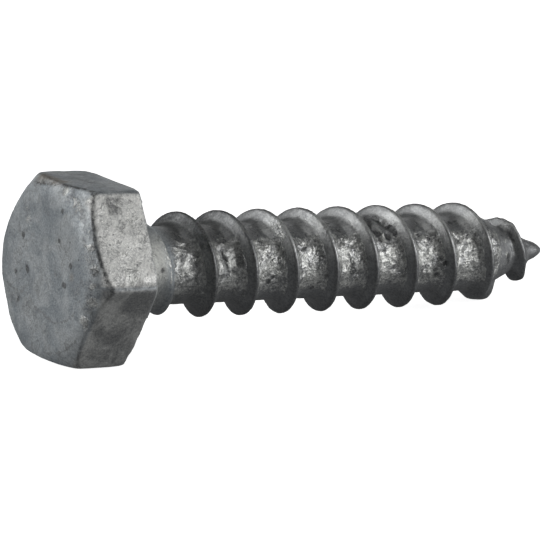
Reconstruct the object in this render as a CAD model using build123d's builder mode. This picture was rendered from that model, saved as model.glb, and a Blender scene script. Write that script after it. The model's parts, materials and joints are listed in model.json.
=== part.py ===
from build123d import *
from math import atan, ceil, cos, floor, pi, radians, sin, tan
import os

# A hexagon-head lag screw (coach screw), 8 mm x 40 mm, with a coarse wood thread and a gimlet
# point. It lies at rest on one flat of its head and on the last full crest of its thread.
# +X runs from the head to the point, +Z is up, and the floor is Z = 0.
# Lengths are in millimetres and angles in degrees.

# Head
across_flats = 13.1
head_height = 5.1
head_corner_radius = 0.35
flat_top_diameter = 12.3
chamfer_angle = 34.0
chamfer_crown = 0.04
die_offset = 0.42
die_direction = 245.0

# Shank
length = 39.5
neck_diameter = 6.72
neck_fillet_radius = 0.3
core_diameter = 5.8
point_angle = 45.0
point_tip_radius = 0.25

# Thread
thread_diameter = 7.9
pitch = 3.6
crest_width = 0.26
flank_angle = 30.0
toe_angle = 62.0
thread_start = 2.53
rise_per_turn = 0.615
tapered_length = 7.8
point_pitch = 4.0
point_crest_angle = 36.5
bare_tip_length = 1.85

# How the thread is built
sections_per_turn = 12
end_sink = 0.05
run_out_slope = 5.0
buried_share = 0.12
toe_share = 0.46
neck_overlap = 0.3

head_radius = across_flats / 2
head_corner = head_radius / cos(radians(30))
flat_top_radius = flat_top_diameter / 2
neck_radius = neck_diameter / 2
core_radius = core_diameter / 2
thread_radius = thread_diameter / 2
point_slope = tan(radians(point_angle / 2))
taper_slope = tan(radians(point_crest_angle / 2))
point_length = (core_radius - point_tip_radius) / point_slope
ridge_start = thread_start - pitch / 4
ridge_end = length - bare_tip_length
taper_start = length - tapered_length

# The die that forged the chamfer sat a little off the screw's axis, so the chamfer is wider on
# one side of the head than on the other.
die_shift = Vector(die_offset, 0).rotate(Axis.Z, die_direction)
chamfer_reach = head_corner + die_offset
chamfer_drop = (chamfer_reach - flat_top_radius) * tan(radians(chamfer_angle))

# At rest the screw pivots down until the last full crest on its underside meets the floor. The
# thread leaves the neck on the upper side, so the crests below lie half a turn further on.
first_crest_below = thread_start + pitch / 2
turns_to_last = floor((taper_start - first_crest_below) / pitch)
rest_crest = first_crest_below + turns_to_last * pitch + crest_width / 2
rest_angle = atan((head_radius - thread_radius) / rest_crest)

along = Vector(cos(rest_angle), 0, -sin(rest_angle))
above = Vector(sin(rest_angle), 0, cos(rest_angle))
aside = along.cross(above)
front_x = length * along.X
back_x = -head_height * along.X - (flat_top_radius - die_shift.X) * above.X
bearing_centre = Vector(-(front_x + back_x) / 2, 0, head_radius * above.Z)
die_centre = bearing_centre + above * die_shift.X + aside * die_shift.Y
screw_axis = Axis(bearing_centre, along)
lengthwise = Plane(bearing_centre, x_dir=above, z_dir=above.cross(along))


def core_at(place):
    """Radius of the core at a distance from the bearing face."""
    return min(core_radius, point_tip_radius + max(0, length - place) * point_slope)


def buried_at(place):
    """Radius of the ridge's foot, which stands a little below the surface of the core."""
    return core_at(place) * (1 - buried_share)


def crest_at(place):
    """Radius of the thread's crest: it climbs out of the neck, runs level, and tapers away."""
    climbing = neck_radius + (place - thread_start) / pitch * rise_per_turn
    tapering = thread_radius - (place - taper_start) * taper_slope
    running_out = core_at(place) + (ridge_end - place) * run_out_slope - end_sink
    return min(climbing, thread_radius, tapering, running_out)


def turned_plane(place):
    """Half plane through the screw's axis that cuts the thread at a distance along it."""
    turns_made = (min(place, taper_start) - thread_start) / pitch
    turns_made += max(0, place - taper_start) / point_pitch
    turn = 2 * pi * turns_made
    outward = above * cos(turn) + aside * sin(turn)
    return Plane(bearing_centre + along * place, x_dir=outward, z_dir=outward.cross(along))


# The smooth neck ends on a slant, along the thread's first half turn.
slant = atan(pitch / 4 / neck_radius)
slant_normal = along * cos(slant) + above * sin(slant)
neck_end = bearing_centre + along * (thread_start + pitch / 4 + neck_overlap)

with BuildPart() as neck:
    with BuildSketch(lengthwise):
        with BuildLine():
            neck_side = Line((neck_radius, neck_fillet_radius), (neck_radius, thread_start + pitch))
            fillet_arc = JernArc(neck_side @ 0, (0, -1), neck_fillet_radius, 90)
            Polyline(neck_side @ 1, (0, thread_start + pitch), (0, 0), fillet_arc @ 1)
        make_face()
    revolve(axis=screw_axis)
    split(bisect_by=Plane(neck_end, z_dir=slant_normal), keep=Keep.BOTTOM)

with BuildPart() as lag_screw:
    # Head: a forged hexagon with rounded corners, whose top edge falls away in a crowned cone
    with BuildSketch(Plane(bearing_centre, x_dir=above, z_dir=along)):
        RegularPolygon(head_radius, 6, major_radius=False, rotation=30)
        fillet(vertices(), radius=head_corner_radius)
    extrude(amount=-head_height)
    with BuildSketch(Plane(die_centre, x_dir=above, z_dir=above.cross(along))):
        with BuildLine():
            edge_start = (flat_top_radius, -head_height)
            edge_end = (chamfer_reach, chamfer_drop - head_height)
            SagittaArc(edge_end, edge_start, chamfer_crown)
            Polyline(edge_end, (chamfer_reach, 0), (0, 0), (0, -head_height), edge_start)
        make_face()
    revolve(axis=Axis(die_centre, along), mode=Mode.INTERSECT)

    add(neck.part)

    # Core: a plain rod that ends in a cone with a blunt tip
    with BuildSketch(lengthwise):
        with BuildLine():
            Polyline((point_tip_radius, length), (core_radius, length - point_length), (core_radius, 0))
            Polyline((core_radius, 0), (0, 0), (0, length), (point_tip_radius, length))
        make_face()
    revolve(axis=screw_axis)

    # Thread: each turn is a loft through sections of the ridge, which stand on the core
    turns = ceil((ridge_end - ridge_start) / pitch)
    section_gap = (ridge_end - ridge_start) / (turns * sections_per_turn)
    for turn in range(turns):
        for section in range(sections_per_turn + 1):
            place = ridge_start + (turn * sections_per_turn + section) * section_gap
            foot = buried_at(place)
            crest = crest_at(place)
            toe = foot + (crest - foot) * toe_share
            crest_half = crest_width / 2
            toe_half = crest_half + (crest - toe) * tan(radians(flank_angle))
            foot_half = toe_half + (toe - foot) * tan(radians(toe_angle))
            foot_behind = (foot, -foot_half)
            foot_ahead = (buried_at(place + foot_half), foot_half)
            with BuildSketch(turned_plane(place)):
                with BuildLine():
                    Polyline(foot_behind, (toe, -toe_half), (crest, -crest_half))
                    Polyline((crest, -crest_half), (crest, crest_half))
                    Polyline((crest, crest_half), (toe, toe_half), foot_ahead)
                    Line(foot_ahead, foot_behind)
                make_face()
        loft()

lag_screw.part.label = "lag_screw"

os.makedirs("parts", exist_ok=True)
export_step(lag_screw.part, "parts/lag_screw.step")
print("rest angle", round(rest_angle * 180 / pi, 2), "degrees")
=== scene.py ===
# %% [markdown]
# # A hot-dip galvanised lag screw
#
# This lesson dresses one piece of steel: a lag screw that was forged, rolled and then dipped in
# molten zinc. The exact solid arrives from the CAD model and stays as it is. What is made here
# is the skin of zinc over it, which is thick, uneven and full of small accidents.

# %% Load the frame
import json
from math import atan2, cos, degrees, pi, radians, sin

import bpy
import numpy as np
from mathutils import Matrix, Vector


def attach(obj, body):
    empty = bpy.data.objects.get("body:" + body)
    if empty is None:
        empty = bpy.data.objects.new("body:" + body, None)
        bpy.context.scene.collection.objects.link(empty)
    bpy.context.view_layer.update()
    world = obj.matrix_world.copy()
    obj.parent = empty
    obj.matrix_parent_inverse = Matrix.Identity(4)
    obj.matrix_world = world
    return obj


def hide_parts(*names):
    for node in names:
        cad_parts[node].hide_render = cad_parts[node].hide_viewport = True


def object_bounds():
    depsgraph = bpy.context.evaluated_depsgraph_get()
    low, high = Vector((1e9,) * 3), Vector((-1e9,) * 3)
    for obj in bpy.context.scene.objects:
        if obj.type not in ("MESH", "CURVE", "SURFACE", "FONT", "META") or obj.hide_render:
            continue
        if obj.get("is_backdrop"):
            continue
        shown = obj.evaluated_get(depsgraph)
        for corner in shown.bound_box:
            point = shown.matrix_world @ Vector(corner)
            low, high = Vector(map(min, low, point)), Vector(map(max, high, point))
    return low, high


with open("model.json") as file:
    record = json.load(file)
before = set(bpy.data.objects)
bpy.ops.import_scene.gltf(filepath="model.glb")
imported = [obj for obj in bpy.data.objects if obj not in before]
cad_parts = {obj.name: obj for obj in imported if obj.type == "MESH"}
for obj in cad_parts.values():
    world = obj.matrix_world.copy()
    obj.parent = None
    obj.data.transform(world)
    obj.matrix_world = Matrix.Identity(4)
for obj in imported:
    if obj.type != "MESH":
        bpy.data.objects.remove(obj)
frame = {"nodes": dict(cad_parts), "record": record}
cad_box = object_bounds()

bare_screw = frame["nodes"]["lag_screw"]
print("CAD box", [[round(value * 1000, 2) for value in corner] for corner in cad_box])

# %% [markdown]
# ## The screw's own axes
#
# The screw lies on the edge of its head and on its thread, so its axis slopes. Everything on a
# screw repeats along that axis and around it. Three numbers are therefore handier than X, Y and
# Z: how far along the axis a point lies from the underside of the head, how far out it is, and
# how far round it has turned from the top. The record's mounts say where the axis is.

# %% Landmarks along and around the screw
MM = 0.001
mounts = {mount["name"]: mount for mount in frame["record"]["mounts"]}
bearing = Vector(mounts["bearing_face"]["pos_m"])
along = Vector(mounts["bearing_face"]["axis"]).normalized()
aside = Vector((0, -1, 0))
above = aside.cross(along).normalized()

# The thread's own sizes, as the CAD model has them
thread_pitch = 3.6 * MM
thread_start = 2.53 * MM
taper_start = 31.7 * MM
point_pitch = 4.0 * MM
rise_per_turn = 0.615

# Sizes in mm, for the numbers that `at` takes
screw_length = 39.5
neck_out = 3.36
core_out = 2.9
tip_out = 0.25
cone_slope = 0.414
face_place = -5.1
chamfer_place = -4.8


def at(place, out, turn):
    """The point that is `place` mm from the head, `out` mm from the axis, turned by degrees."""
    round_the_axis = above * cos(radians(turn)) + aside * sin(radians(turn))
    return bearing + along * place * MM + round_the_axis * out * MM


print("axis falls", round(degrees(atan2(-along.z, along.x)), 2), "degrees to the point")
print("tip of the point", [round(value / MM, 2) for value in at(screw_length, 0, 0)])

# %% [markdown]
# ## The camera
#
# A long lens from a low stand keeps the far thread nearly as large as the near head. The camera
# is set first, because it decides which accidents of the zinc are worth shaping one by one.

# %% Place the camera
view_heading = radians(33.13)
view_fall = radians(14.36)
view_roll = radians(0.99)
view_distance = 0.30054
view_target = Vector((-0.00131, 0.00206, 0.00395))

level_part = cos(view_fall)
forward = Vector((sin(view_heading) * level_part, cos(view_heading) * level_part, -sin(view_fall)))
camera_data = bpy.data.cameras.new("long_lens")
camera_data.lens = 265.5
camera_data.sensor_width = 36
camera_data.clip_start = 0.01
camera_data.clip_end = 10
camera = bpy.data.objects.new("camera", camera_data)
bpy.context.scene.collection.objects.link(camera)
camera.location = view_target - forward * view_distance
level = forward.to_track_quat("-Z", "Y").to_matrix()
camera.rotation_euler = (level @ Matrix.Rotation(view_roll, 3, "Z")).to_euler()
bpy.context.scene.camera = camera
print("camera stands at", [round(value / MM, 1) for value in camera.location])

# %% [markdown]
# ## The skin of zinc
#
# A dipped coat follows the steel but rounds every edge and fills every corner a little. A copy of
# the solid is made one closed skin of small even faces by a voxel remesh. The remesh leaves tiny
# stairs along slanting edges, so a Shrinkwrap lays the skin back on the steel before a Smooth
# modifier lets it flow. The voxel is the size of the smallest lump that should be real geometry.

# %% Pour the skin over a copy of the solid
coat_voxel = 0.141 * MM


def select_only(piece):
    """Leaves one object selected and active, as a click on it would."""
    bpy.ops.object.select_all(action="DESELECT")
    piece.select_set(True)
    bpy.context.view_layer.objects.active = piece


coat = bpy.data.objects.new("zinc_coated_screw", bare_screw.data.copy())
bpy.context.scene.collection.objects.link(coat)
select_only(coat)
bpy.ops.object.mode_set(mode="EDIT")
bpy.ops.mesh.select_all(action="SELECT")
bpy.ops.mesh.remove_doubles(threshold=1e-7)
bpy.ops.object.mode_set(mode="OBJECT")


def apply_modifier(piece, kind, **settings):
    """Adds one modifier, sets it and applies it."""
    select_only(piece)
    modifier = piece.modifiers.new(kind.lower(), kind)
    for name, value in settings.items():
        setattr(modifier, name, value)
    bpy.ops.object.modifier_apply(modifier=modifier.name)


apply_modifier(coat, "REMESH", mode="VOXEL", voxel_size=coat_voxel, adaptivity=0)
apply_modifier(coat, "SHRINKWRAP", target=bare_screw, wrap_method="NEAREST_SURFACEPOINT")
apply_modifier(coat, "SMOOTH", factor=0.5, iterations=2)
bpy.ops.object.shade_smooth()
print("skin", len(coat.data.vertices), "vertices,", 2 * len(coat.data.polygons), "triangles")

# %% [markdown]
# ## Reading and writing the skin
#
# Sculpting by hand would mean a few hundred strokes of a brush. Here each stroke is a line of
# code instead: it names a spot on the screw, a reach and a height. For that the vertices are
# read into arrays once, moved, and written back.

# %% Arrays for the vertices and helpers for strokes


def read_points():
    """Places and normals of all vertices as arrays."""
    points = np.empty(len(coat.data.vertices) * 3)
    coat.data.vertices.foreach_get("co", points)
    normals = np.empty(len(coat.data.vertices) * 3)
    coat.data.vertices.foreach_get("normal", normals)
    return points.reshape(-1, 3), normals.reshape(-1, 3)


def write_points():
    """Puts the moved vertices back and updates the normals."""
    coat.data.vertices.foreach_set("co", points.ravel())
    coat.data.update()


def screw_numbers():
    """For each vertex: mm along the axis, mm out from it, degrees round it, mm from a crest."""
    offset = points - np.array(bearing)
    place = offset @ np.array(along)
    up, side = offset @ np.array(above), offset @ np.array(aside)
    turn = np.arctan2(side, up)
    turns_made = (np.minimum(place, taper_start) - thread_start) / thread_pitch
    turns_made += np.maximum(0, place - taper_start) / point_pitch
    from_crest = (turns_made - turn / (2 * pi) + 0.5) % 1 - 0.5
    return place / MM, np.hypot(up, side) / MM, np.degrees(turn), from_crest * thread_pitch / MM


def ease(value, low, high):
    """0 below low, 1 above high, and a soft S between."""
    share = np.clip((value - low) / (high - low), 0, 1)
    return share * share * (3 - 2 * share)


points, normals = read_points()
place, out, turn, from_crest = screw_numbers()
print("axis numbers run", place.min().round(2), "to", place.max().round(2), "mm")

# %% [markdown]
# ## Regions
#
# Zinc drains off the flanks of a thread and stays in its roots, where it sets in lumps. So the
# screw is divided by form: the head, the smooth neck, the flanks, the crests and the roots. Each
# region is a number from 0 to 1 at every vertex, with soft borders.

# %% Weigh the regions
on_head = 1 - ease(place, -0.25, 0.05)
in_thread = ease(place, 3.4, 4.6) * (1 - on_head)
core_here = np.minimum(core_out, tip_out + np.maximum(0, screw_length - place) * cone_slope)
in_root = ease(core_here + 0.5 - out, 0, 0.2) * in_thread
on_crest = (1 - ease(np.abs(from_crest), 0.15, 0.35)) * ease(out - core_here, 0.6, 0.9) * in_thread
on_flank = in_thread * (1 - in_root)

# The dip drained sideways: the roots are smooth on top and below, and crusted at both sides
round_side = np.abs(turn)
crusted = in_root * ease(round_side, 28, 52) * (1 - ease(round_side, 112, 140))
crusted *= (1 - ease(place, 35.4, 36.4)) * (1 - 0.7 * ease(place, 33.2, 34.2))
print("root share", round(float(in_root.mean()), 2), "crusted share", round(float(crusted.mean()), 2))

# %% [markdown]
# ## Soft corners
#
# The thicker the zinc, the softer the form. The foot of each flank sweeps into its root, and on
# the head the ring between the flat top and the chamfer all but vanishes. The same Smooth
# modifier does both, each time held to its place by a vertex group.

# %% Soften the corners


def vertex_group(name, weights):
    """Stores weights as a vertex group, in steps that are fine enough not to show."""
    group = coat.vertex_groups.new(name=name)
    steps = np.round(weights * 20).astype(int)
    for step in range(1, 21):
        members = np.flatnonzero(steps == step)
        if len(members):
            group.add(members.tolist(), step / 20, "REPLACE")
    return group.name


facing_out = -(normals @ np.array(along))
ring = on_head * ease(facing_out, 0.79, 0.83) * (1 - ease(facing_out, 1.0, 1.001))
outline = on_head * np.maximum(ease(place, -0.5, -0.25), ease(place, -3.5, -0.5) * 0.3)
feet = in_thread * (1 - ease(np.abs(out - core_here - 0.25), 0.35, 0.8)) * (1 - ease(place, 35, 37))
for name, weights, passes in (
    ("head", on_head, 10),
    ("ring", ring, 150),
    ("outline", outline, 9),
    ("feet", feet, 12),
):
    group = vertex_group(name, weights)
    apply_modifier(coat, "SMOOTH", factor=0.5, iterations=passes, vertex_group=group)
    print("softened the", name, "over", int((weights > 0.02).sum()), "vertices")

# %% [markdown]
# ## Uneven zinc
#
# Displace modifiers with procedural textures make the broad unevenness. A vertex group says how
# strongly each region is moved: the roots most, the flanks hardly at all.

# %% Displace the regions


def displace(name, size, height, weights, **settings):
    """Moves the skin along its normals by a procedural texture, within a weighted region."""
    texture = bpy.data.textures.new(name, "CLOUDS")
    texture.noise_scale = size * MM
    for key, value in settings.items():
        setattr(texture, key, value)
    group = vertex_group(name, weights)
    apply_modifier(
        coat,
        "DISPLACE",
        texture=texture,
        texture_coords="LOCAL",
        strength=height * MM,
        mid_level=0.5,
        vertex_group=group,
    )
    print(name, "moved", int((weights > 0.02).sum()), "vertices")


everywhere = (1 - 0.4 * on_head) * (1 - 0.7 * ease(place, 35, 37))
displace("slow_waves", 2.6, 0.10, everywhere)
displace("crust_swells", 0.9, 0.17, crusted, noise_depth=1)
displace("crust_crinkles", 0.3, 0.15, crusted, noise_depth=2)
displace("root_waves", 0.7, 0.08, in_root * (1 - crusted) * everywhere)
displace("head_ripples", 0.9, 0.03, on_head, noise_depth=2)
displace("flank_ripples", 0.7, 0.04, on_flank * (1 - on_crest), noise_depth=1)
points, normals = read_points()

# %% [markdown]
# ## Single accidents
#
# What makes one screw different from the next is a handful of spots. They are shaped as strokes:
# a push outwards for a drip or a bead, and a push inwards for a pit or a fold.

# %% Strokes on the skin


def nearness(centre, reach):
    """1 at the centre, falling softly to 0 at the reach."""
    distance = np.linalg.norm(points - np.array(centre), axis=1) / (reach * MM)
    return np.clip(1 - distance**2, 0, 1) ** 2


def stroke(spot, reach, height, way=None):
    """Pushes the skin at (place, out, turn) out by a height in mm, or in where it is negative."""
    centre = np.array(at(*spot))
    nearest = np.argmin(np.linalg.norm(points - centre, axis=1))
    direction = normals[nearest] if way is None else np.array(way)
    points[:] += np.outer(nearness(points[nearest], reach) * height * MM, direction)


def line_of_spots(spots, count):
    """Evenly spaced spots along a bent line given by a few (place, out, turn)."""
    stations = np.linspace(0, len(spots) - 1, count)
    columns = [np.interp(stations, range(len(spots)), column) for column in zip(*spots)]
    return [tuple(float(value) for value in spot) for spot in zip(*columns)]


def outward(turn_deg):
    """The direction straight away from the axis at a turn."""
    return above * cos(radians(turn_deg)) + aside * sin(radians(turn_deg))


before_strokes = points.copy()

# %% [markdown]
# Zinc stays in the corner between the head and the neck, and fills it like a fillet. It is
# thickest on top, where it drained last.

# %% Fill the corner under the head


def fill_to(target, share):
    """Raises the skin to a distance from the axis, in mm, wherever it lies lower."""
    offset = points - np.array(bearing)
    radial = offset - np.outer(offset @ np.array(along), np.array(along))
    distance = np.linalg.norm(radial, axis=1)
    lift = np.maximum(0, target * MM - distance) * share
    points[:] += (lift / distance)[:, None] * radial


place, out, turn, from_crest = screw_numbers()
fillet_reach = 0.3 + 0.5 * (1 - ease(np.abs(turn), 30, 90))
steps_out = np.clip(1 - np.maximum(0, place) / fillet_reach, 0, 1) ** 2
fill_to(neck_out + fillet_reach * steps_out, ease(place, -0.12, 0.0) * (1 - ease(place, 1.0, 1.2)))

# The first turn swells out of the neck without a step, so a ramp of zinc leads up to its crest
place, out, turn, from_crest = screw_numbers()
first_crest = thread_start / MM + thread_pitch / MM * turn / 360
first_rise = rise_per_turn * np.clip(turn, 0, 180) / 360
ramp_out = neck_out + first_rise * ease(place, first_crest - 1.3, first_crest - 0.1)
beside_first = ease(place, 0.9, 1.2) * (1 - ease(place, first_crest - 0.05, first_crest + 0.2))
fill_to(ramp_out, beside_first * ease(turn, -30, 0) * (1 - ease(turn, 150, 178)))
print("corner filled up to", round(float(fillet_reach.max()), 2), "mm from the head")

# %% [markdown]
# The last turns took most of the handling. The crest under the point carries a flat-bottomed
# blob of zinc, and the very last turn ends in a round lobe.

# %% Blob and lobes near the point
place, out, turn, from_crest = screw_numbers()
low_turn = np.abs((turn - 168 + 180) % 360 - 180)
blob_places, blob_outs = (31.6, 32.1, 32.5, 32.9, 33.6, 34.0, 34.2), (2.8, 3.0, 3.3, 3.62, 3.68, 3.4, 2.4)
on_blob = (1 - ease(low_turn, 14, 40)) * ease(place, 31.5, 31.8) * (1 - ease(place, 34.1, 34.3))
fill_to(np.interp(place, blob_places, blob_outs), on_blob)
place, out, turn, from_crest = screw_numbers()
lobe_out = np.interp(place, (36.4, 36.7, 37.0, 37.3, 37.55), (1.5, 2.15, 2.36, 2.3, 1.5))
fill_to(lobe_out, (1 - ease(low_turn, 15, 45)) * ease(place, 36.3, 36.5) * (1 - ease(place, 37.4, 37.6)))
tip_bulge = np.interp(place, (37.4, 38.1, 38.7, 39.2, 39.5), (0.95, 0.85, 0.68, 0.42, 0.1))
fill_to(tip_bulge, ease(place, 37.6, 37.9) * (1 - ease(place, 39.3, 39.5)))
for spot, reach, height in (
    ((34.4, 2.6, -4), 1.0, -0.3),
    ((34.75, 2.4, -14), 0.6, -0.2),
    ((35.0, 2.35, -8), 0.9, -0.36),
    ((35.7, 2.1, 26), 0.8, 0.26),
    ((35.0, 2.8, -26), 0.85, -0.2),
    ((35.65, 2.5, -12), 0.6, 0.12),
    ((36.0, 2.0, 44), 0.7, 0.14),
):
    stroke(spot, reach, height, way=outward(spot[2]))
print("blob and lobe filled")

# %% [markdown]
# One root has a lap: a tongue of steel that the rolling folded over. It lies in the root between
# two dark slits that meet on top of the screw.

# %% Lap in the rolled root
upper_slit = line_of_spots(((23.1, 3.0, -15), (23.4, 3.0, 20), (24.0, 3.1, 45)), 14)
lower_slit = line_of_spots(((22.9, 3.0, -10), (22.2, 2.9, 25), (22.6, 2.9, 50)), 14)
tongue = line_of_spots(((22.8, 3.0, 15), (22.9, 3.0, 40)), 5)
for spot in tongue:
    stroke(spot, 0.5, 0.12, way=outward(spot[2]))
for spot in upper_slit + lower_slit:
    stroke(spot, 0.26, -0.18, way=outward(spot[2]))
stroke((23.3, 2.95, 44), 0.4, -0.25, way=outward(44))

# The second root has a crack that runs round it
crack = line_of_spots(((8.1, 2.9, 60), (8.7, 2.9, 95)), 20)
for spot in crack:
    stroke(spot, 0.24, -0.05, way=outward(spot[2]))
print("lap runs over", len(upper_slit) + len(lower_slit), "spots")

# %% Pits and chips
for spot, reach, depth in (
    ((2.65, 3.35, 84), 0.22, -0.08),
    ((28.06, 3.23, 88), 0.3, -0.12),
    ((37.6, 0.9, 53), 0.3, -0.1),
    ((5.2, 3.0, 50), 0.35, -0.2),
    ((-5.1, 6.6, -20), 0.3, -0.15),
    ((-5.1, 4.65, -57), 0.25, -0.06),
    ((-5.1, 2.4, -84), 0.25, -0.07),
    ((-5.1, 4.5, -132), 0.25, -0.06),
    ((-5.1, 5.46, 120), 0.3, -0.08),
    ((-4.9, 6.5, 116), 0.45, -0.14),
    ((-2.1, 7.0, 85.5), 0.7, -0.1),
    ((-0.6, 7.2, 86), 0.5, -0.08),
    ((-3.1, 7.1, 86), 0.45, -0.07),
):
    stroke(spot, reach, depth)
write_points()

# %% [markdown]
# The head's corners are rounded by handling, one much more than the others. Smoothing wears them
# down, and the fills near the point are settled in the same way.

# %% Wear the corners
place, out, turn, from_crest = screw_numbers()
worn_corners = np.zeros(len(points))
for spot, reach, amount in (
    ((0.0, 7.4, 150), 1.9, 1.0),
    ((0.0, 7.4, 30), 0.8, 0.4),
    ((0.0, 7.4, 90), 0.9, 0.8),
    ((-4.6, 7.3, -30), 1.3, 1.0),
    ((-4.5, 7.3, 150), 0.9, 0.5),
    ((-4.5, 7.3, -150), 1.2, 0.9),
    ((0.0, 7.4, -30), 1.2, 0.9),
    ((0.0, 7.4, -90), 1.0, 0.5),
    ((0.0, 7.4, -150), 1.3, 0.8),
):
    worn_corners = np.maximum(worn_corners, amount * nearness(at(*spot), reach) ** 0.5)
group = vertex_group("corners", worn_corners)
apply_modifier(coat, "SMOOTH", factor=0.5, iterations=40, vertex_group=group)
filled = np.clip(on_head + (1 - ease(np.abs(place - 33.4), 1.6, 2.0)) + ease(place, 35.5, 36), 0, 1) * 0.8
group = vertex_group("filled", filled)
apply_modifier(coat, "SMOOTH", factor=0.5, iterations=5, vertex_group=group)
points, normals = read_points()
moved = np.linalg.norm(points - before_strokes, axis=1)
print("strokes moved", int((moved > 1e-6).sum()), "vertices")
print("the longest move is", round(float(moved.max()) / MM, 2), "mm")

# %% [markdown]
# ## Tones painted on the skin
#
# The colour of galvanising depends on where the zinc froze fast or slowly. Dull grey stretches
# hold the crystals back, and bright frosty ones show them. Light and shade are painted here too:
# painted shade near the head, underneath, in valleys, on crests and along two head creases, and
# painted light on the flank tops, the neck, the facet that faces the key light and in small glints.
# These regions are stored as attributes on the vertices, for the material to read.

# %% Curvature, for edges and corners


def curvature():
    """How far each vertex stands above its neighbours' mean, in shares of an edge length."""
    edges = np.empty(len(coat.data.edges) * 2, int)
    coat.data.edges.foreach_get("vertices", edges)
    edges = edges.reshape(-1, 2)
    total = np.zeros_like(points)
    count = np.zeros(len(points))
    for first, second in ((0, 1), (1, 0)):
        np.add.at(total, edges[:, first], points[edges[:, second]])
        np.add.at(count, edges[:, first], 1)
    rise = np.einsum("ij,ij->i", points - total / count[:, None], normals) / coat_voxel
    for _ in range(3):
        spread = np.zeros(len(points))
        for first, second in ((0, 1), (1, 0)):
            np.add.at(spread, edges[:, first], rise[edges[:, second]])
        rise = 0.5 * rise + 0.5 * spread / count
    return rise


points, normals = read_points()
place, out, turn, from_crest = screw_numbers()
rise = curvature()
print("curvature runs", rise.min().round(3), "to", rise.max().round(3))

# %% Paint by dabs
paint = {layer: np.zeros(len(points)) for layer in ("frost_and_glints", "stain_and_shade", "rust", "painted_crease_shade", "vein")}


def dab(layer, spot, reach, amount):
    """Paints a soft dab on a layer at (place, out, turn)."""
    centre = np.array(at(*spot))
    nearest = np.argmin(np.linalg.norm(points - centre, axis=1))
    paint[layer] = np.maximum(paint[layer], amount * nearness(points[nearest], reach))


# Frost, stains, pits and painted glints fall at random, each kind within its own region
random_spots = np.random.default_rng(11)
pitch_mm = thread_pitch / MM
first_root = 4.5
root_count = 8
on_core = (core_out, core_out)


def scatter(layer, count, places, outs, turns, reaches, amounts, climb=0.0):
    """Dabs a layer at random spots. Climb is how far the region moves along the screw per turn."""
    for _ in range(count):
        turn_deg = random_spots.uniform(*turns)
        spot_place = random_spots.uniform(*places) + climb * turn_deg / 360
        spot = (spot_place, random_spots.uniform(*outs), turn_deg)
        dab(layer, spot, random_spots.uniform(*reaches), random_spots.uniform(*amounts))


# %% Paint the head
# Frost lies along the chamfer's right half, on the bright side and at the face's upper left
chamfer_band = (chamfer_place - 0.1, chamfer_place + 0.1)
scatter("frost_and_glints", 15, chamfer_band, (6.1, 6.5), (10, 122), (0.4, 0.8), (0.6, 1.2))
scatter("frost_and_glints", 4, (-3.8, -0.9), (6.6, 6.6), (38, 78), (0.8, 1.5), (0.4, 0.5))
scatter("frost_and_glints", 4, (face_place, face_place), (4.2, 5.6), (-48, -20), (0.7, 1.1), (0.4, 0.5))
for spot in line_of_spots(((-5.1, 6.2, -113), (-5.1, 3.5, -148), (-5.1, 4.3, -187)), 9):
    dab("stain_and_shade", spot, 1.5, 0.27)
front_band = (face_place, chamfer_place)
scatter("stain_and_shade", 10, front_band, (2.4, 6.5), (-140, 125), (0.25, 0.4), (0.8, 1.5))
for spot, reach, amount in (
    ((-2.6, 6.5, 36), 1.3, 0.6),
    ((2.65, 3.35, 84), 0.3, 1.0),
    ((28.06, 3.23, 88), 0.35, 1.0),
):
    dab("stain_and_shade", spot, reach, amount)
dab("rust", (-5.1, 3.55, 86), 0.5, 0.7)

# The upper front crease sags: a dark line of painted shade runs below the corner, under a brownish band of
# rust with painted shade
sagging_crease = (
    (-4.81, 6.64, -28),
    (-4.95, 6.4, -18),
    (-4.95, 6.27, -8),
    (-4.83, 6.39, 5),
    (-4.6, 6.7, 15),
    (-4.08, 7.17, 24),
)
for spot in line_of_spots(sagging_crease, 64):
    dab("painted_crease_shade", spot, 0.2, 1.3)
for spot in line_of_spots(((-4.6, 6.95, -22), (-4.55, 6.7, -10), (-4.4, 6.6, 2)), 6):
    dab("rust", spot, 0.75, 1.0)
    dab("stain_and_shade", spot, 0.75, 0.4)
for spot in line_of_spots(((-4.9, 6.5, -30), (-4.95, 6.0, -10), (-4.9, 6.1, 6)), 6):
    dab("stain_and_shade", spot, 0.7, 0.2)
# Painted shade: a soft dark band along the chamfer beside the brightest side
for spot in line_of_spots(((-4.9, 6.2, 54), (-4.9, 6.2, 104)), 7):
    dab("stain_and_shade", spot, 1.3, 0.42)
dab("stain_and_shade", (-2.4, 6.6, 46), 2.0, 0.22)
for spot in line_of_spots(((-5.0, 6.3, 10), (-4.9, 6.4, 50)), 5):
    dab("stain_and_shade", spot, 1.4, 0.36)
for spot in line_of_spots(((-2.6, 6.6, -20), (-2.6, 6.6, 20)), 5):
    dab("stain_and_shade", spot, 2.6, 0.3)
for spot in upper_slit + lower_slit:
    dab("stain_and_shade", spot, 0.3, 1.7)
for spot in tongue:
    dab("frost_and_glints", spot, 0.5, 0.6)
# Painted highlight: a thin bright line along the first crest
for spot in line_of_spots(((2.95, 3.43, 42), (3.55, 3.53, 102)), 24):
    dab("frost_and_glints", spot, 0.17, 1.0)

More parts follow.
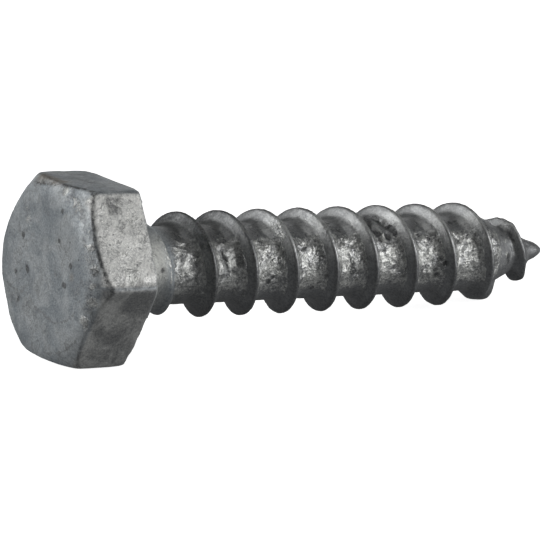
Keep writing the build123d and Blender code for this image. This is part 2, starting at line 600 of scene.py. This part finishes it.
# Fine dark veins wander over the front and over the low side
for vein in (
    ((-5.1, 6.0, -110), (-5.1, 3.3, -130), (-5.1, 3.1, -180)),
    ((-5.1, 3.1, 180), (-5.1, 4.9, 117)),
    ((-5.1, 6.0, 175), (-4.95, 6.2, 133)),
    ((-4.3, 6.6, 125), (-1.2, 6.8, 135), (-0.9, 6.6, 116)),
):
    for spot in line_of_spots(vein, 40):
        dab("vein", spot, 0.2, 1.0)
dab("stain_and_shade", (23.3, core_out, 44), 0.4, 1.0)
dab("stain_and_shade", (9.0, 3.6, -35), 0.8, 1.5)
dab("stain_and_shade", (33.4, 3.5, 172), 1.4, 0.5)
for root in range(root_count):
    middle = first_root + pitch_mm * root
    band = (middle - 0.5, middle + 0.5)
    scatter("stain_and_shade", 3, band, on_core, (0, 125), (0.25, 0.45), (0.9, 1.4), pitch_mm)
scatter("stain_and_shade", 4, (34.0, 36.0), (1.8, 2.4), (50, 110), (0.3, 0.4), (0.9, 1.3))
for spot in crack:
    dab("stain_and_shade", spot, 0.22, 1.8)
for spot in line_of_spots(((34.5, 2.3, 24), (35.3, 2.1, 44)), 4):
    dab("stain_and_shade", spot, 0.8, 0.5)
dab("stain_and_shade", (38.4, 0.7, 60), 1.2, 0.22)
# Painted shade: a dark line along the lower edge of the brightest side
for spot in line_of_spots(((-4.2, 7.2, 88), (-2.3, 7.4, 88.5), (-0.2, 7.4, 87)), 15):
    dab("painted_crease_shade", spot, 0.28, 0.8)

# Painted glints: bright dabs on the thread, and a painted highlight on the brightest side
for root in range(root_count):
    middle = first_root + pitch_mm * root
    band = (middle - 0.7, middle + 0.5)
    scatter("frost_and_glints", 4, band, on_core, (50, 105), (0.3, 0.5), (1.0, 1.4), pitch_mm)
scatter("frost_and_glints", 2, (34.5, 35.0), (2.2, 2.2), (45, 85), (0.3, 0.4), (1.1, 1.3))
scatter("frost_and_glints", 2, (13.3, 13.6), (3.6, 3.6), (25, 50), (0.8, 0.9), (0.7, 0.8))
dab("frost_and_glints", (-2.1, 6.6, 83), 1.0, 1.3)

# %% Store the regions as attributes


def store(name, values):
    """Writes one number per vertex for the material."""
    attribute = coat.data.attributes.new(name, "FLOAT", "POINT")
    attribute.data.foreach_set("value", values.astype(np.float32))
    print("attribute", name, "mean", round(float(values.mean()), 3))


# Painted shade: two creases of the head are darkened, the upper front one and the one beside the brightest
# side
front_edge = on_head * ease(rise, 0.03, 0.06) * (1 - ease(place, -3.2, -2.6))
crease_shade = front_edge * (ease(turn, 22, 28) * (1 - ease(turn, 88, 100)))
crease_shade = np.maximum(crease_shade, 0.6 * front_edge * ease(turn, 124, 134) * (1 - ease(turn, 148, 151)))
paint["painted_crease_shade"] = np.maximum(paint["painted_crease_shade"], crease_shade)
# Painted light: the head facet that faces the key light gets a brighter tone, over the zinc's own mottle
painted_lit_facet = on_head * ease(turn, 30.5, 32.5) * (1 - ease(turn, 87, 88.5)) * ease(place, -4.6, -4.3)
low_side = on_head * ease(turn, 88, 90) * (1 - ease(turn, 150, 152)) * ease(place, -4.6, -4.3)
faces_head = ease(-(normals @ np.array(along)), 0.06, 0.3)
# Painted top light: the head-facing flanks and the crests are made paler towards the top of the screw and
# away from the head
painted_top_light = in_thread * np.maximum(faces_head, on_crest) * (1 - ease(np.abs(turn), 58, 92))
painted_top_light *= (0.1 + 0.9 * ease(place, 9, 13.5)) * (0.3 + 0.7 * ease(turn, 0, 32))
root_top = in_root * (1 - faces_head) * (1 - ease(np.abs(turn), 40, 60))
# Painted shade: the tops of the first turns beside the head are darkened through the stain layer
head_shade_on_first_tops = in_thread * (1 - in_root) * (1 - ease(place, 8, 11)) * (1 - ease(np.abs(turn), 50, 80))
paint["stain_and_shade"] = np.maximum(paint["stain_and_shade"], 0.6 * head_shade_on_first_tops)
# Painted shade: the underside of the shank is darkened
painted_underside_shade = (1 - on_head) * ease(np.abs(turn), 118 - 30 * (1 - in_thread), 150 - 30 * (1 - in_thread))
# Painted sheen: the neck is made pale on its side towards the key light
painted_neck_sheen = (1 - on_head) * (1 - ease(place, 2.6, 3.6)) * ease(turn, 20, 60) * (1 - 0.6 * ease(turn, 85, 110))
store("painted_lit_facet", painted_lit_facet)
store("thread", in_thread)
store("low_side", low_side)
store("painted_underside_shade", painted_underside_shade)
store("painted_neck_sheen", painted_neck_sheen)
store("painted_top_light", painted_top_light)
store("root_top", root_top)
# Painted shade near the head: 0 by the head, rising to 1 further along the thread
store("clear_of_head_shade", ease(place, 7, 13))
store("root", in_root)
store("crusted", crusted)
store("crest", on_crest)
store("painted_valley_shade", ease(-rise, 0.02, 0.1))
for layer, values in paint.items():
    store(layer, values)

# %% [markdown]
# ## The zinc
#
# Galvanised zinc is a dull metal. Its reflection is broad, and it carries a grey bloom that acts
# like paint. One material does the whole screw: the regions only shift its tone, its roughness
# and the depth of its bumps.

# %% Node helpers
zinc = bpy.data.materials.new("hot_dip_zinc")
zinc.use_nodes = True
nodes = zinc.node_tree.nodes
links = zinc.node_tree.links
nodes.clear()


def node(kind, inputs=None, **settings):
    """Adds a node, sets its properties, and links or sets its inputs."""
    made = nodes.new(kind)
    for name, value in settings.items():
        setattr(made, name, value)
    for name, value in (inputs or {}).items():
        if isinstance(value, bpy.types.NodeSocket):
            links.new(value, made.inputs[name])
        else:
            made.inputs[name].default_value = value
    return made


def blend_colours(share, first, second):
    """A colour between two, by a share from 0 to 1."""
    made = node("ShaderNodeMix", data_type="RGBA")
    for index, value in ((0, share), (6, first), (7, second)):
        if isinstance(value, bpy.types.NodeSocket):
            links.new(value, made.inputs[index])
        else:
            made.inputs[index].default_value = value
    return made.outputs[2]


def arithmetic(operation, first, second=0.0):
    """One step of arithmetic on numbers."""
    made = node("ShaderNodeMath", {0: first, 1: second}, operation=operation)
    return made.outputs[0]


def remap(value, low, high, to_low=0.0, to_high=1.0):
    """Stretches a range of numbers onto another, softly."""
    inputs = {0: value, 1: low, 2: high, 3: to_low, 4: to_high}
    return node("ShaderNodeMapRange", inputs, interpolation_type="SMOOTHSTEP").outputs[0]


def region(name):
    """One of the regions stored on the skin."""
    return node("ShaderNodeAttribute", attribute_name=name).outputs["Fac"]


coordinates = node("ShaderNodeTexCoord").outputs["Object"]


def noise(scale_mm, detail=3.0, roughness=0.55, distortion=0.0):
    """Soft noise whose features are about as large as the scale."""
    inputs = {
        "Vector": coordinates,
        "Scale": 1000 / scale_mm,
        "Detail": detail,
        "Roughness": roughness,
        "Distortion": distortion,
    }
    return node("ShaderNodeTexNoise", inputs).outputs["Fac"]


def cells(scale_mm):
    """Distance to the nearest of many scattered points."""
    inputs = {"Vector": coordinates, "Scale": 1000 / scale_mm, "Randomness": 1.0}
    return node("ShaderNodeTexVoronoi", inputs).outputs["Distance"]


def pits(spacing_mm, radius_mm, share):
    """Small round dots scattered about; only a share of the places has one."""
    inputs = {"Vector": coordinates, "Scale": 1000 / spacing_mm, "Randomness": 1.0}
    scattered = node("ShaderNodeTexVoronoi", inputs)
    draw = node("ShaderNodeSeparateColor", {0: scattered.outputs["Color"]}).outputs[0]
    chosen = remap(draw, 1 - share - 0.03, 1 - share + 0.03)
    radius = radius_mm / spacing_mm
    dot = remap(scattered.outputs["Distance"], radius * 0.5, radius * 1.3, 1.0, 0.0)
    return arithmetic("MULTIPLY", chosen, dot)


# %% Tone of the zinc
dull = (0.31, 0.35, 0.385, 1)
pale = (0.52, 0.555, 0.575, 1)
frost_and_highlight_white = (0.84, 0.85, 0.81, 1)
wear_and_shade_grey = (0.2, 0.205, 0.21, 1)
low_grey = (0.6, 0.605, 0.59, 1)
dark = (0.055, 0.058, 0.064, 1)
lit_facet_grey = (0.8, 0.805, 0.785, 1)
painted_light_white = (1.0, 1.0, 0.97, 1)
thread_grey = (0.31, 0.318, 0.33, 1)
painted_top_light_grey = (0.6, 0.61, 0.605, 1)
brown = (0.3, 0.24, 0.17, 1)

clouds = remap(noise(2.6, 5, 0.66, 0.5), 0.38, 0.63)
tone = blend_colours(clouds, dull, pale)
# Painted top light: the flanks and crests take a paler grey towards the top
painted_top_light = arithmetic("MULTIPLY", region("painted_top_light"), remap(noise(1.3, 4, 0.6), 0.3, 0.6, 0.45, 1.0))
# Painted shade: the thread near the head takes the darker grey
thread_tone = blend_colours(region("clear_of_head_shade"), wear_and_shade_grey, thread_grey)
thread_tone = blend_colours(painted_top_light, thread_tone, painted_top_light_grey)
tone = blend_colours(region("low_side"), tone, blend_colours(clouds, wear_and_shade_grey, low_grey))
tone = blend_colours(region("thread"), tone, thread_tone)
# Painted sheen on the neck
tone = blend_colours(arithmetic("MULTIPLY", region("painted_neck_sheen"), 0.95), tone, frost_and_highlight_white)

# Crusted roots and the painted frost and glints take a pale mottled tone with torn borders
torn = arithmetic("SUBTRACT", noise(0.5, 4, 0.65), 0.5)
patches = remap(noise(1.1, 5, 0.7, 0.3), 0.4, 0.58, 0.12, 1.0)
frost_and_glints = remap(arithmetic("ADD", region("frost_and_glints"), arithmetic("MULTIPLY", torn, 2.4)), 0.4, 0.75)
crust = remap(arithmetic("ADD", region("crusted"), arithmetic("MULTIPLY", torn, 2.2)), 0.45, 0.85)
# Painted shade: the crust's pale tone is dimmed near the head
crust = arithmetic("MULTIPLY", crust, remap(region("clear_of_head_shade"), 0.0, 1.0, 0.6, 1.0))
# Painted light: the facet facing the key light is made brighter, with painted glints; its mottle and dark
# clouds are the zinc's own
painted_lit_facet = region("painted_lit_facet")
side_mottle = remap(noise(0.9, 6, 0.76), 0.4, 0.56)
lit_facet_tone = blend_colours(side_mottle, lit_facet_grey, painted_light_white)
side_clouds = remap(noise(0.6, 6, 0.78, 0.5), 0.52, 0.62, 0.0, 0.75)
lit_facet_tone = blend_colours(side_clouds, lit_facet_tone, wear_and_shade_grey)
painted_glints = remap(noise(0.2, 4, 0.75), 0.52, 0.6)
lit_facet_tone = blend_colours(painted_glints, lit_facet_tone, painted_light_white)
tone = blend_colours(painted_lit_facet, tone, lit_facet_tone)
tone = blend_colours(arithmetic("MULTIPLY", frost_and_glints, 0.7), tone, frost_and_highlight_white)
tone = blend_colours(arithmetic("MULTIPLY", crust, arithmetic("MULTIPLY", patches, 0.8)), tone, frost_and_highlight_white)

# The crust is a rubble of crumbs: the bright ones are painted glints, the dark ones dark specks
glints_and_crumbs = noise(0.2, 4, 0.75)
crumbled = arithmetic("MAXIMUM", crust, arithmetic("MULTIPLY", frost_and_glints, 0.9))
tone = blend_colours(arithmetic("MULTIPLY", crumbled, remap(glints_and_crumbs, 0.4, 0.48, 0.85, 0.0)), tone, painted_light_white)
tone = blend_colours(arithmetic("MULTIPLY", crumbled, remap(glints_and_crumbs, 0.51, 0.6, 0.0, 0.75)), tone, wear_and_shade_grey)

# Dark specks everywhere, and black hollows where the crust is torn
speckle = remap(noise(0.28, 4, 0.7), 0.55, 0.7)
tone = blend_colours(arithmetic("MULTIPLY", speckle, 0.45), tone, wear_and_shade_grey)
few_pits = pits(0.9, 0.085, 0.3)
many_pits = arithmetic("MULTIPLY", pits(0.5, 0.07, 0.45), arithmetic("ADD", painted_lit_facet, region("crusted")))
pitting = arithmetic("MAXIMUM", few_pits, many_pits)
tone = blend_colours(arithmetic("MULTIPLY", pitting, 0.75), tone, dark)
blots = remap(noise(0.42, 4, 0.7, 0.5), 0.57, 0.68)
hollows = arithmetic("ADD", region("crusted"), arithmetic("MULTIPLY", region("root_top"), 0.9))
# The root tops get painted glints as bright specks, besides dark specks
specks = arithmetic("MULTIPLY", region("root_top"), remap(noise(0.9, 3, 0.5), 0.5, 0.6))
tone = blend_colours(arithmetic("MULTIPLY", specks, remap(glints_and_crumbs, 0.36, 0.44, 0.8, 0.0)), tone, frost_and_highlight_white)
tone = blend_colours(arithmetic("MULTIPLY", specks, remap(glints_and_crumbs, 0.52, 0.58, 0.0, 0.9)), tone, dark)
tone = blend_colours(arithmetic("MULTIPLY", arithmetic("MULTIPLY", blots, hollows), 0.85), tone, dark)
# Painted shade in the hollows of the skin
tone = blend_colours(arithmetic("MULTIPLY", region("painted_valley_shade"), 0.35), tone, dark)
stain_edges = arithmetic("ADD", 1.0, arithmetic("MULTIPLY", torn, 3.6))
stain_and_shade = remap(arithmetic("MULTIPLY", region("stain_and_shade"), stain_edges), 0.08, 0.7)
veins = arithmetic("ABSOLUTE", arithmetic("SUBTRACT", noise(1.7, 5, 0.7, 0.8), 0.5))
vein_places = remap(noise(2.4, 2, 0.5), 0.42, 0.6, 0.0, 0.6)
veins = arithmetic("MULTIPLY", remap(veins, 0.006, 0.03, 1.0, 0.0), vein_places)
tone = blend_colours(veins, tone, wear_and_shade_grey)
vein = remap(arithmetic("ADD", region("vein"), arithmetic("MULTIPLY", torn, 3.0)), 0.4, 1.0, 0.0, 0.6)
tone = blend_colours(vein, tone, wear_and_shade_grey)
# Real stains and painted shade are darkened here together
tone = blend_colours(arithmetic("MULTIPLY", stain_and_shade, 0.85), tone, dark)
broken = remap(noise(0.35, 4, 0.7), 0.4, 0.58, 0.15, 0.95)
# Painted shade along the head creases, broken by noise
tone = blend_colours(arithmetic("MULTIPLY", region("painted_crease_shade"), broken), tone, dark)
tone = blend_colours(arithmetic("MULTIPLY", region("rust"), 0.6), tone, brown)
# Painted shade under the screw
tone = blend_colours(arithmetic("MULTIPLY", region("painted_underside_shade"), 0.55), tone, dark)
# Painted shade: crests outside the painted top light are darkened
crest_shade = arithmetic("MULTIPLY", region("crest"), arithmetic("SUBTRACT", 1.0, region("painted_top_light")))
tone = blend_colours(arithmetic("MULTIPLY", crest_shade, 0.5), tone, dark)
grain = remap(noise(0.16, 3, 0.65), 0.35, 0.65)
tone = blend_colours(grain, blend_colours(0.28, tone, wear_and_shade_grey), blend_colours(0.18, tone, frost_and_highlight_white))

# %% Bumps and gloss
fine_grain = noise(0.13, 2, 0.5)
crinkle = noise(0.26, 3, 0.6, 0.8)
rough_places = arithmetic("ADD", crust, arithmetic("MULTIPLY", frost_and_glints, 0.8))
facets = arithmetic("MULTIPLY", cells(0.55), arithmetic("MULTIPLY", crust, 1.1))
height = arithmetic("MULTIPLY", fine_grain, 0.45)
height = arithmetic("ADD", height, arithmetic("MULTIPLY", crinkle, rough_places))
height = arithmetic("ADD", height, facets)
bump = node("ShaderNodeBump", {"Height": height, "Strength": 0.6, "Distance": 0.00009})
gloss = remap(noise(1.1, 4, 0.6), 0.3, 0.7, 0.42, 0.56)
gloss = arithmetic("SUBTRACT", gloss, arithmetic("MULTIPLY", arithmetic("MAXIMUM", crust, frost_and_glints), 0.08))
gloss = arithmetic("ADD", gloss, arithmetic("MULTIPLY", arithmetic("SUBTRACT", 1.0, region("thread")), 0.08))
metal = remap(region("thread"), 0.0, 1.0, 0.6, 0.8)
metal = arithmetic("SUBTRACT", metal, arithmetic("MULTIPLY", region("painted_neck_sheen"), 0.2))
zinc_shader = node(
    "ShaderNodeBsdfPrincipled",
    {"Base Color": tone, "Metallic": metal, "Roughness": gloss, "Normal": bump.outputs[0]},
)
node("ShaderNodeOutputMaterial", {"Surface": zinc_shader.outputs[0]})
coat.data.materials.clear()
coat.data.materials.append(zinc)
print("zinc has", len(nodes), "nodes")

# %% [markdown]
# ## Floor and light
#
# The screw lies on a plain floor that glows, so that it comes out white. It is hidden from shadow
# rays and from reflections, so it neither lights the screw nor shows in it. One soft light stands
# to the right of the camera and one faces the head from the left. Two weaker ones fill from
# behind and one from above, and the room is dim, so that the underside stays dark.

# %% Floor
floor_size = 3.0
bpy.ops.object.select_all(action="DESELECT")
bpy.ops.mesh.primitive_grid_add(x_subdivisions=4, y_subdivisions=4, size=floor_size)
floor = bpy.context.object
floor.name = "pale_floor"
paper = bpy.data.materials.new("pale_paper")
paper.use_nodes = True
paper_shader = paper.node_tree.nodes["Principled BSDF"]
paper_shader.inputs["Base Color"].default_value = (0.86, 0.86, 0.86, 1)
paper_shader.inputs["Roughness"].default_value = 0.9
paper_shader.inputs["Specular IOR Level"].default_value = 0.1
paper_shader.inputs["Emission Color"].default_value = (1, 1, 1, 1)
paper_shader.inputs["Emission Strength"].default_value = 0.93
floor.data.materials.append(paper)
floor.visible_shadow = False
floor.visible_diffuse = False
floor.visible_glossy = False
floor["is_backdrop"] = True

# %% Lights
screw_middle = at(17, 0, 0)
light_distance = 0.6


def soft_light(name, direction, size, power):
    """A square area light that faces the screw from a direction."""
    light = bpy.data.lights.new(name, "AREA")
    light.shape = "SQUARE"
    light.size = size
    light.energy = power
    lamp = bpy.data.objects.new(name, light)
    bpy.context.scene.collection.objects.link(lamp)
    towards = Vector(direction).normalized()
    lamp.location = screw_middle + towards * light_distance
    lamp.rotation_euler = (-towards).to_track_quat("-Z", "Y").to_euler()
    print(name, "at", [round(value, 2) for value in lamp.location])


soft_light("key_light", (0.69, -0.69, 0.2), 0.42, 1.8)
soft_light("head_light", (-0.88, 0.32, 0.34), 0.35, 1.2)
soft_light("back_left_light", (-0.6, 0.6, 0.5), 0.4, 0.8)
soft_light("back_right_light", (0.66, 0.66, 0.34), 0.35, 0.3)
soft_light("top_light", (0.0, -0.09, 0.99), 0.35, 0.3)

room = bpy.data.worlds.new("dim_room")
bpy.context.scene.world = room
room.use_nodes = True
room_nodes = room.node_tree.nodes
room_background = room_nodes["Background"]
direction = room_nodes.new("ShaderNodeTexCoord")
split = room_nodes.new("ShaderNodeSeparateXYZ")
height_ramp = room_nodes.new("ShaderNodeMapRange")
room.node_tree.links.new(direction.outputs["Generated"], split.inputs[0])
room.node_tree.links.new(split.outputs["Z"], height_ramp.inputs[0])
for index, value in ((1, -0.1), (2, 0.1), (3, 0.15), (4, 0.01)):
    height_ramp.inputs[index].default_value = value
room.node_tree.links.new(height_ramp.outputs[0], room_background.inputs["Strength"])
room_background.inputs["Color"].default_value = (0.97, 0.98, 1, 1)
bpy.context.scene.view_settings.view_transform = "Standard"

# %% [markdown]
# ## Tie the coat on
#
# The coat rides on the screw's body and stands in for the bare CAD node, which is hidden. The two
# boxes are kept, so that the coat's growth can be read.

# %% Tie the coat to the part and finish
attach(coat, "root")
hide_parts("lag_screw")

visual_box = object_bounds()
grown = [round((b - a) / MM, 3) for first, second in zip(cad_box, visual_box) for a, b in zip(first, second)]
print("the coat moves the box by (mm)", grown)
